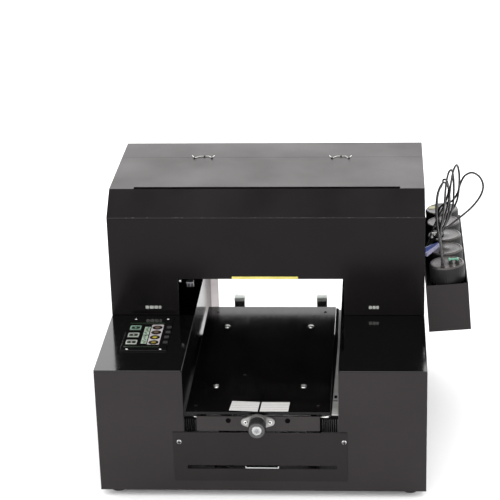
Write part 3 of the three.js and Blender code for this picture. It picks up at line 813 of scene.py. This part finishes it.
def make_bed_front():
    """Dust brushes beside the bed, its bright end stops, and plugs in its two holes."""
    def brush(bm):
        for x0, x1 in BRUSH_SPANS:
            add_box(bm, (x0, 4, 140), (x1, 8, 143.6), 0.5)
            for k in range(int((x1 - x0) / BRUSH_PITCH)):
                place = here(x0 + 1.9 + BRUSH_PITCH * k, 6, 114.5)
                add_lathe(bm, TUFT_RINGS, 12, place)
    piece("dust_brushes", brush, BRISTLE_AND_SHADE, "bed")
    back = facing((0, 2, 0), FRONTWARD)
    flat_piece("bed_stops", [(outline, back) for outline in STOP_OUTLINES], 2.8, BRIGHT, "bed")
    plugs = [facing((x, -1, KNOB_Z + 1), FRONTWARD)
             for x in (KNOB_X - PLUG_SPAN, KNOB_X + PLUG_SPAN)]
    turned_piece("bed_plate_plugs", PLUG_RINGS, plugs, 32, BRISTLE_AND_SHADE, "bed")


make_knob()
make_bearing()
make_bed_front()

# ---- platen furniture

PLATEN_TOP = 155
PLATEN_SCREWS = [(-87.2, 102.2), (71.2, 102.8), (-87.5, 361.3), (74.8, 361.9)]
CORNER_SCREWS = [(-116.3, 26), (99.7, 26), (-111.3, 432), (100.7, 432), (-38.3, 148)]
LABEL_THICKNESS = 0.25
LABEL_CORNERS = {"left": ((-53.4, 44.4), (-3.9, 41.0), (-6.0, 4.7), (-56.5, 8.7)),
                 "right": ((-0.6, 41.0), (49.3, 41.0), (47.7, 5.0), (-2.3, 5.0))}


def make_platen_details():
    for name, spots, radius, material in (
            ("platen_screws", PLATEN_SCREWS, 6.2, BRIGHT),
            ("platen_corner_screws", CORNER_SCREWS, 3, BLACK_SCREW)):
        screws(name, [(x, y, PLATEN_TOP) for x, y in spots], UPWARD, radius, material, "platen")
    for side, corners in LABEL_CORNERS.items():
        flat_piece(f"platen_label_{side}", [(corners, here(0, 0, PLATEN_TOP))],
                   LABEL_THICKNESS, LABEL, "platen")


make_platen_details()

# ---- control panel

PANEL_TOP = 238.3
MODE_TINTS = (PALE_GREEN, PRINT_WHITE, PRINT_WHITE)
JOG_TINTS = (BROWN, BROWN, YELLOW, OCHRE)
DOT_RINGS = [(0, 0), (1.7, 0), (1.7, 0.3), (1.4, 0.5), (0, 0.6)]
DOME_RINGS = [(0, 0), (4.6, 0), (4.3, 0.4), (2.6, 0.7), (0, 0.8)]
BEZEL_LOW, BEZEL_HIGH = (-208.6, 101.8), (-187, 187)
BEZEL_HOLE = 9.2
BEZEL_RISE = 0.35
SIDE_LABELS = (111.9, 134.3, 155.5, 176.6)
PANEL_SCREWS = [(-241.8, 212.5), (-182.3, 212.8), (-242, 82.9), (-182.2, 83.2)]
LEGEND_ROWS = 22
LEGEND_START = 107.4
LEGEND_PITCH = 3.15
LEGEND_GAP = (139, 143.5)


def make_mode_keys():
    for number, tint in enumerate(MODE_TINTS, 1):
        name = f"mode_key_{number}"
        low, high = house_box(name)
        middle = (low + high) / 2
        top = here(middle.x, middle.y, high.z)

        block_piece(f"key_cap_{name}", [(low, high)], DARK_GREEN, name, bevel=0.7, segments=3,
                    replaces=name, slot="mode_keys")

        def ring(bm):
            add_ring(bm, round_rectangle(9.9, 8.8, 3), round_rectangle(7.8, 5.8, 2), 0.35, top)
        piece(f"key_frame_{name}", ring, tint, name, smooth=False)
        dots = [here(middle.x + dx, middle.y, high.z) for dx in (-3.8, 3.8)]
        turned_piece(f"key_dots_{name}", DOT_RINGS, dots, 24, BLACK_SCREW, name)
        flat_piece(f"key_legend_{name}", [(round_rectangle(1.2, 2.2, 0.6), top)], FILM, tint,
                   name)


def make_jog_keys():
    for number, tint in enumerate(JOG_TINTS, 1):
        name = f"jog_key_{number}"
        low, high = house_box(name)
        middle = (low + high) / 2
        r, h = (high.x - low.x) / 2, high.z - low.z
        profile = [(0, 0), (r, 0), (r, h * 0.6), (r - 0.4, h * 0.85), (r - 1.2, h),
                   (r * 0.66, h), (r * 0.62, h - 0.4), (0, h - 0.5)]
        turned_piece(f"round_{name}", profile, [here(middle.x, middle.y, low.z)], 48,
                     BLACK_SCREW, name, replaces=name, slot="jog_keys")
        turned_piece(f"dome_{name}", DOME_RINGS, [here(middle.x, middle.y, high.z - 0.5)], 32,
                     tint, name)


def plate_with_holes(bm, low, high, holes, z0, z1, steps=32):
    """Flat frame from low to high with a column of round holes, built strip by strip."""
    (x0, y0), (x1, y1) = low, high
    cuts = [y0] + [(a[1] + b[1]) / 2 for a, b in zip(holes, holes[1:])] + [y1]
    for (cx, cy, r), bottom, top in zip(holes, cuts, cuts[1:]):
        inner, outer = [], []
        for k in range(steps):
            angle = 2 * math.pi * k / steps
            dx, dy = math.cos(angle), math.sin(angle)
            ways = ((x1 - cx, dx), (x0 - cx, dx), (top - cy, dy), (bottom - cy, dy))
            reach = min(gap / way for gap, way in ways if gap * way > TINY)
            inner.append((cx + r * dx, cy + r * dy))
            outer.append((cx + reach * dx, cy + reach * dy))
        rings = [[bm.verts.new(at(x, y, z)) for x, y in ring]
                 for ring, z in ((inner, z0), (inner, z1), (outer, z1), (outer, z0))]
        for first, second in zip(rings, rings[1:] + rings[:1]):
            band_faces(bm, first, second)


def legend_blocks():
    """Rows of blocks that stand for the panel's legends."""
    draw = random.Random(5)
    blocks = []
    for k in range(LEGEND_ROWS):
        y = LEGEND_START + LEGEND_PITCH * k
        if LEGEND_GAP[0] < y < LEGEND_GAP[1]:
            continue
        x = -219.4 + draw.uniform(0, 4)
        width = draw.uniform(2, 4.6)
        blocks.append(((x, y, PANEL_TOP + 0.2), (x + width, y + 1.7, PANEL_TOP + 0.4)))
    return blocks


def make_panel_prints():
    holes = []
    for number in range(len(JOG_TINTS), 0, -1):
        low, high = house_box(f"jog_key_{number}")
        middle = (low + high) / 2
        holes.append((middle.x, middle.y, BEZEL_HOLE))

    def bezel(bm):
        plate_with_holes(bm, BEZEL_LOW, BEZEL_HIGH, holes, PANEL_TOP, PANEL_TOP + BEZEL_RISE)
    piece("jog_key_bezel", bezel, PRINT_ROSE, smooth=False)
    strips = [((-220.6, y0, PANEL_TOP), (-210.4, y1, PANEL_TOP + 0.25))
              for y0, y1 in ((106, 140.5), (143.5, 177.5))]
    block_piece("panel_label_strip", strips, BLOCKS, bevel=0.1, **SHARP)
    block_piece("panel_legend_blocks", legend_blocks(), DARK_GREEN, smooth=False)
    label = round_rectangle(4.2, 5.2, 1.5)
    flat_piece("panel_side_labels", [(label, here(-176.6, y, PANEL_TOP)) for y in SIDE_LABELS],
               FILM, FAINT)
    edges = [((-250, y0, PANEL_TOP), (-186.5, y1, PANEL_TOP + 0.12))
             for y0, y1 in ((91, 95), (190.5, 196))]
    block_piece("panel_edge_prints", edges, DARK_GREEN, smooth=False)
    screws("panel_screws", [(x, y, PANEL_TOP) for x, y in PANEL_SCREWS], UPWARD, 2.5, BRIGHT)


make_mode_keys()
make_jog_keys()
make_panel_prints()

# ---- front and upper body details

STRIP_LEFT_EDGE = ((123.9, 2.4), (125.2, 90), (126.9, 183), (128.4, 280), (127.4, 449.8))
STRIP_RIGHT = 135.6
STRIP_BOTTOM = 149
STRIP_TOP = 152


def make_side_strip():
    """Light strip beside the platen, with a dark strip along its inner edge and under its front
    that is painted shade for the gap beside the platen.
    """
    level = here(0, 0, STRIP_BOTTOM)
    strip = STRIP_LEFT_EDGE + ((STRIP_RIGHT, 449.8), (STRIP_RIGHT, 2.4))
    flat_piece("side_strip", [(strip, level)], STRIP_TOP - STRIP_BOTTOM, STRIP_GREY,
               replaces="side_guide_strip", slot="guide_steel")

    # Dark fill in the gap between platen and strip, and below the strip's front: painted shade.
    def gap_shade(bm):
        inner = [(x - 0.2, y) for x, y in STRIP_LEFT_EDGE]
        outline = [(121.5, 4)] + inner[:-1] + [(127.2, 452), (125.6, 455.4), (121.5, 456.6)]
        add_prism(bm, outline, 3.4, level)
        add_box(bm, (121.8, 2.4, 144.4), (135.4, 3.4, 148.9), 0.2)
    piece("side_gap_shade", gap_shade, BRISTLE_AND_SHADE, smooth=False)
    ridges = [((125, y, 151.8), (134.8, y + 1.3, 152.5)) for y in range(5, 50, 3)]
    block_piece("side_strip_ridges", ridges, PRINT_WHITE, bevel=0.2, **SHARP)

    # A dark film for a hole in the strip and a dark bar across it: painted shade.
    def slot_shades(bm):
        add_prism(bm, round_rectangle(2.6, 5.6, 2.5), FILM, here(129.5, 68.5, STRIP_TOP))
        add_box(bm, (125.6, 51.5, STRIP_TOP), (133, 54, 152.3), 0.1, 1)
    piece("side_strip_slot_shades", slot_shades, BRISTLE_AND_SHADE, smooth=False)


COVER_SCREWS = [(-145.6, -1.8, 98.1), (145.4, -1.8, 98.3)]
COVER_SCREW_RINGS = [(0, 0), (4.3, 0), (4.3, 0.5), (3.8, 1.2), (2.6, 1.7), (0, 1.9)]
CROSS_BARS = ((1, 3.2), (3.2, 1))
UPPER_FACE = 236
WALL_MARKS = ((-223.4, 3.2), (-215.2, 3.9), (-206.6, 3.6), (-199.7, 2.4), (190.6, 3),
              (197.4, 2.9), (203.7, 2.5))
FOLD_GLINTS = 64
FOLD_LINE = 430
POST_EDGES = (-86, 81)


def fold_glints():
    """Light specks along the fold between the upper front and the fascia: painted glints where the
    fold's bevel catches the light.
    """
    draw = random.Random(11)
    glints = []
    for _ in range(FOLD_GLINTS):
        x = draw.uniform(-262, 262)
        half = draw.uniform(0.25, 1.3)
        z = FOLD_LINE + draw.uniform(-0.7, 0.1)
        glints.append(((x - half, 235.75, z - 0.3), (x + half, 236.1, z + 0.3)))
    return glints


def make_front_details():
    block_piece("rear_window_guard", [((-137, 545, 53), (-120.5, 547.4, 213))], ACRYLIC,
                bevel=0.5)
    heads = [facing(spot, FRONTWARD) for spot in COVER_SCREWS]
    turned_piece("cover_plate_screws", COVER_SCREW_RINGS, heads, 32, INSERT)
    # Dark cross bars on the cover screws' heads: painted shade for their cross recesses.
    recess_shades = [((x - half_x, y - 2.2, z - half_z), (x + half_x, y - 1.2, z + half_z))
                for x, y, z in COVER_SCREWS for half_x, half_z in CROSS_BARS]
    block_piece("cover_screw_recess_shades", recess_shades, BRISTLE_AND_SHADE, bevel=0.1, **SHARP)
    tape = [((-64.3, 235.6, 308.6), (57.8, 236, 313.6)),
            ((-64.3, 235.6, 308.6), (57.8, 238.4, 309.2))]
    block_piece("window_edge_tape", tape, TAPE, bevel=0.1, **SHARP)
    marks = [(round_rectangle(half, 3, 1.4), facing((x, UPPER_FACE, 252), FRONTWARD))
             for x, half in WALL_MARKS]
    flat_piece("upper_wall_marks", marks, 0.3, PRINT_WHITE)
    # Painted glints along the fold.
    block_piece("fold_glint_specks", fold_glints(), GREY_PLASTIC, smooth=False)
    bumpers = [((x - 0.4, 519.6, 139), (x + 20.4, 540.2, 146.5)) for x in POST_EDGES]
    block_piece("post_bumpers", bumpers, PALE_WHITE, bevel=1, segments=3)
    # Thin bright bar on the left shoulder's inner edge: a painted highlight where the edge catches
    # the light.
    block_piece("shoulder_edge_highlight", [((-136.6, 0.5, 235.4), (-135.6, 235, 236.5))], EDGE_GLINT_METAL,
                bevel=0.3, segments=1)


def make_window_sensor():
    """End-stop bracket and its screw, seen at the window's upper left corner."""
    bracket = [((-149.5, 251, 286.5), (-136.5, 253, 300.5)),
               ((-149.5, 239, 298.5), (-136.5, 253, 300.5))]
    block_piece("sensor_bracket", bracket, CAST, bevel=0.4)
    sensor = [((-147.5, 247, 287.5), (-144.1, 251, 295.5)),
              ((-140.9, 247, 287.5), (-137.5, 251, 295.5)),
              ((-147.5, 249, 294.5), (-137.5, 251, 297.5))]
    block_piece("sensor_body", sensor, PLASTIC, bevel=0.5)
    screws("sensor_screw", [(-161.2, 243, 301.5)], FRONTWARD, 2.6, BRIGHT)


make_side_strip()
make_front_details()
make_window_sensor()

# ---- lid hinges

HINGE_WIRE = 0.7
HINGE_LINE = 463
HOUSE_TOP = 467
HINGE_BENDS = ([(-154, 472), (-148.6, 457), (-138.8, 467), (-121.5, 468.4), (-114.7, 457),
                (-111, 471.6)],
               [(111.2, 469.4), (116.4, 454.8), (125.8, 466), (141.2, 466), (149, 454.4),
                (153.6, 469)])
LID_STAPLES = [(-148.6, 458), (-114.7, 458), (116.4, 456), (149, 456)]
DECK_STAPLES = [(-130, 468), (133.5, 466.5)]


def split_at_hinge(bends):
    """Cuts a bent wire where it crosses the hinge line: the runs before it and behind it."""
    runs = [[bends[0]]]
    for a, b in zip(bends, bends[1:]):
        if (a[1] - HINGE_LINE) * (b[1] - HINGE_LINE) < 0:
            t = (HINGE_LINE - a[1]) / (b[1] - a[1])
            cut = (a[0] + t * (b[0] - a[0]), HINGE_LINE)
            runs[-1].append(cut)
            runs.append([cut])
        runs[-1].append(b)
    front = [run for run in runs if min(run[0][1], run[1][1]) < HINGE_LINE]
    return front, [run for run in runs if run not in front]


def make_hinges():
    """Two spring-wire hinges lying over the seam between the lid and the deck behind it."""
    front, rear = [], []
    for bends in HINGE_BENDS:
        ahead, behind = split_at_hinge(bends)
        front += ahead
        rear += behind
    for name, runs, body in (("hinge_wires_lid", front, "top_lid"),
                             ("hinge_wires_deck", rear, HOUSING)):
        def wires(bm):
            for run in runs:
                level = HOUSE_TOP + 0.2 + HINGE_WIRE
                add_rod(bm, [Vector((x, y, level)) for x, y in run], HINGE_WIRE)
        piece(name, wires, BRIGHT, body)
    for name, spots, body in (("hinge_staples_lid", LID_STAPLES, "top_lid"),
                              ("hinge_staples_deck", DECK_STAPLES, HOUSING)):
        staples = [((x - 1.6, y - 2, HOUSE_TOP), (x + 1.6, y + 2, 469.4)) for x, y in spots]
        block_piece(name, staples, COAT, body, bevel=0.5)


make_hinges()

# ---- ink rack details

VENT_PLUGS = (48, 60)
VENT_Y = 30
VENT_RINGS = [(0, 28.6), (4.2, 28.6), (4.2, 29.6), (3.4, 30), (3.4, 34), (4, 34.4),
              (4, 35.6), (3, 36.2), (0, 36.2)]
STRAP_BLOCKS = [((44.6, 26.6, 36.2), (63, 33, 38))] + [
    ((x - 1.6, 24.8, 35.4), (x + 1.6, 34.8, 38.6)) for x in (46.5, 61)]
CLIP_NEAR, CLIP_FAR = (291.6, 273, 339), (317.6, 323.4, 338.4)
TIE_TILT = 0.12


def make_tube_clips():
    """Two strips that lie over the caps, from the side panel to the bundle of tubes."""
    near, far = at(*CLIP_NEAR), at(*CLIP_FAR)
    length = (far - near).length / MM
    along = (far - near).normalized()
    side = along.cross(Vector(UPWARD)).normalized()
    upright = Matrix((along, side.cross(along), side)).transposed().to_4x4()
    band = [(0, 0), (length, 0.8), (length, 6.2), (0, 6.6)]
    sail = [(1, 4), (length, 4), (length, 7.5), (30, 12.5), (1, 16.5)]
    for name, outline, shift, thick, material in (
            ("tube_clip_white", band, 0, 4, CLIP_LILAC),
            ("tube_clip_blue", sail, -2.2, 2, CLIP_BLUE)):
        place = Matrix.Translation(near + side * (shift * MM)) @ upright
        flat_piece(name, [(outline, place)], thick, material)


def make_rack_details():
    """Plugs with their strap, clips, the tubes' tie and grommet, a dot on the rearmost cap,
    and the hooks that hold the rack."""
    plugs = [racked(x, VENT_Y, 0) for x in VENT_PLUGS]
    turned_piece("vent_plugs", VENT_RINGS, plugs, 32, RUBBER)
    block_piece("vent_strap", STRAP_BLOCKS, LEAF_GREEN, bevel=0.8, segments=3, placing=RACK)
    make_tube_clips()

    def tie(bm):
        place = here(317, 346.5, 355) @ Matrix.Rotation(TIE_TILT, 4, "X")
        add_ring(bm, round_rectangle(10.2, 19.2, 9.6), round_rectangle(9, 18, 8.8), 3, place)
    piece("bundle_tie", tie, BRISTLE_AND_SHADE, smooth=False)

    # White head and tail on the tie: a painted highlight for the glint at the third cap's rim.
    def tie_glint(bm):
        add_box(bm, (305.4, 339, 354.4), (308.4, 343, 359), 0.5)
        add_box(bm, (305, 337.4, 358.4), (315, 339.4, 360.6), 0.4)
    piece("bundle_tie_glint", tie_glint, PALE_WHITE)
    sticker = racked(22.4, bottle_y(BOTTLE_COUNT - 1) + 9.7, 29.2)
    flat_piece("cap_marker", [(round_rectangle(7.6, 7.4, 4), sticker)], 0.3, STICKER)

    def grommet(bm):
        add_ring(bm, round_rectangle(20.5, 9.5, 4), round_rectangle(17.6, 6.6, 2), 1.8,
                 facing((289.2, 327, 324), RIGHTWARD))
    piece("tube_grommet", grommet, RUBBER)
    hooks = [((-0.6, y - 12, -14), (1, y + 12, 1.2)) for y in (60, 287)]
    block_piece("rack_hooks", hooks, COAT, bevel=0.3, placing=RACK)


make_rack_details()

# ---- print gantry details

PULLEYS = (("drive_pulley", "drive_wheel", -250), ("idler_pulley", "idler_wheel", 250))
PULLEY_RINGS = [(2.6, 0), (10.1, 0), (10.5, 0.3), (10.5, 0.6), (8.0, 0.9), (7.9, 1), (7.9, 7.2),
                (8.0, 7.3), (10.5, 7.6), (10.5, 7.9), (10.1, 8.2), (4.6, 8.2), (4.2, 7.8),
                (2.6, 7.8), (2.6, 0)]
TOOTH_RADIUS = 7.9
TOOTH_COUNT = 24
TOOTH_DEPTH = 0.4


def teeth(angle, radius):
    if radius != TOOTH_RADIUS:
        return radius
    return radius - TOOTH_DEPTH * (1 + math.cos(TOOTH_COUNT * angle)) / 2


def make_gantry_details():
    for name, body, x in PULLEYS:
        turned_piece(f"toothed_{name}", PULLEY_RINGS, [facing((x, 374.1, 332), FRONTWARD)], 96,
                     BRIGHT, body, teeth, replaces=name, slot="pulley_metal")
    bells = [((-271.2, y0, 310.8), (-228.8, y1, 353.2)) for y0, y1 in ((383.3, 391), (413, 421.3))]
    block_piece("motor_end_bells", bells, CAST, bevel=2, segments=3)
    cores = [((x, 300, 362), (x + 3.4, 336, 362.8)) for x in range(196, 236, 4)]
    block_piece("head_cable", cores, PALE_WHITE, "print_carriage", bevel=0.2, **SHARP)
    fins = [((177 + 8.2 * k, 269, 300), (180 + 8.2 * k, 271.4, 346)) for k in range(9)]
    block_piece("lamp_fins", fins, CAST, "print_carriage", bevel=0.4)
    block_piece("lamp_window", [((181, 273, 295.2), (249, 294, 296.4))], LAMP_GLASS,
                "print_carriage", bevel=0.3, smooth=False)
    block_piece("carriage_cap", [((172, 342, 362), (258, 360, 366))], GREY_PLASTIC,
                "print_carriage", bevel=1.5, segments=3)
    block_piece("capping_seal", [((193, 303, 278.7), (237, 335, 279.3))], RUBBER, bevel=0.2,
                segments=1)


make_gantry_details()

# ---- back and sides

BACK_FACE = 550
LOUVRE_HALF_LENGTH = 42
LOUVRE_RADIUS = 5
LOUVRE_FLATNESS = 0.45
LOUVRE_STEPS = 8
LOUVRE_ROWS = range(288, 418, 16)
REAR_SCREWS = ((278, 20), (278, 232), (278, 450), (150, 20), (150, 450))
SIDE_SCREWS = ((20, 20), (20, 216), (530, 20), (270, 20), (530, 450), (305, 445))
SIDE_FACE = 290
CASE_SCREW = 3.4


def make_back():
    arc = [math.pi * j / LOUVRE_STEPS for j in range(LOUVRE_STEPS + 1)]
    outline = [(LOUVRE_RADIUS * LOUVRE_FLATNESS * math.sin(a), LOUVRE_RADIUS * math.cos(a))
               for a in arc]

    def louvres(bm):
        for x in (-170, 170):
            for z in LOUVRE_ROWS:
                place = facing((x - LOUVRE_HALF_LENGTH, BACK_FACE, z), RIGHTWARD)
                add_prism(bm, outline, 2 * LOUVRE_HALF_LENGTH, place)
    piece("rear_louvres", louvres, COAT, angle=40)
    spots = [(side * x, BACK_FACE, z) for side in (-1, 1) for x, z in REAR_SCREWS]
    screws("rear_screws", spots, BACKWARD, CASE_SCREW, BLACK_SCREW)
    for name, side in (("left", -1), ("right", 1)):
        spots = [(side * SIDE_FACE, y, z) for y, z in SIDE_SCREWS]
        screws(f"{name}_side_screws", spots, (side, 0, 0), CASE_SCREW, BLACK_SCREW, height=0.1)
    pins = [((x - 1, 540, z - 2), (x + 1, 549, z + 2))
            for x, z in ((224.5, 59), (235.5, 59), (230, 64))]
    block_piece("inlet_pins", pins, BRIGHT, bevel=0.3)
    screws("inlet_screws", [(210, 551.4, 61), (250, 551.4, 61)], BACKWARD, 2.2, BRIGHT)


make_back()

# ---- floor and light

FLOOR_SIZE = 14
SKY_LOW = 2.5
SKY_HIGH = 0.33
SKY_DIMS_FROM, SKY_DIMS_TO = 0.5, 0.95  # sines of the height above the horizon


def make_floor():
    bm = bmesh.new()
    bmesh.ops.create_grid(bm, x_segments=1, y_segments=1, size=FLOOR_SIZE)
    floor = mesh_object("floor", bm)
    n = Nodes("studio_floor")
    n.colour(n.blend(n.spread(n.noise(2), 0, 1), srgb(240, 240, 240), srgb(244, 244, 244)))
    n.uniform("Roughness", 0.9)
    n.uniform("Specular IOR Level", 0.1)
    floor.data.materials.append(n.material)


def make_world():
    """Studio surround: bright walls up to 30 degrees, dimming to a dark ceiling."""
    world = bpy.data.worlds.new("studio")
    world.use_nodes = True
    tree = world.node_tree
    place = tree.nodes.new("ShaderNodeTexCoord")
    split = tree.nodes.new("ShaderNodeSeparateXYZ")
    ramp = tree.nodes.new("ShaderNodeValToRGB")
    tree.links.new(place.outputs["Generated"], split.inputs["Vector"])
    tree.links.new(split.outputs["Z"], ramp.inputs["Fac"])
    tree.links.new(ramp.outputs["Color"], tree.nodes["Background"].inputs["Color"])
    for stop, position, level in zip(ramp.color_ramp.elements, (SKY_DIMS_FROM, SKY_DIMS_TO),
                                     (1, SKY_HIGH / SKY_LOW)):
        stop.position = position
        stop.color = (level, level, level, 1)
    tree.nodes["Background"].inputs["Strength"].default_value = SKY_LOW
    bpy.context.scene.world = world


def make_sun():
    """Wide soft light from straight above that shows in no reflection."""
    data = bpy.data.lights.new("overhead", "SUN")
    data.energy = 1.5
    data.angle = math.radians(70)
    sun = bpy.data.objects.new("overhead", data)
    sun.visible_glossy = False
    link(sun)


make_floor()
make_world()
make_sun()
bpy.context.scene.view_settings.view_transform = "Standard"
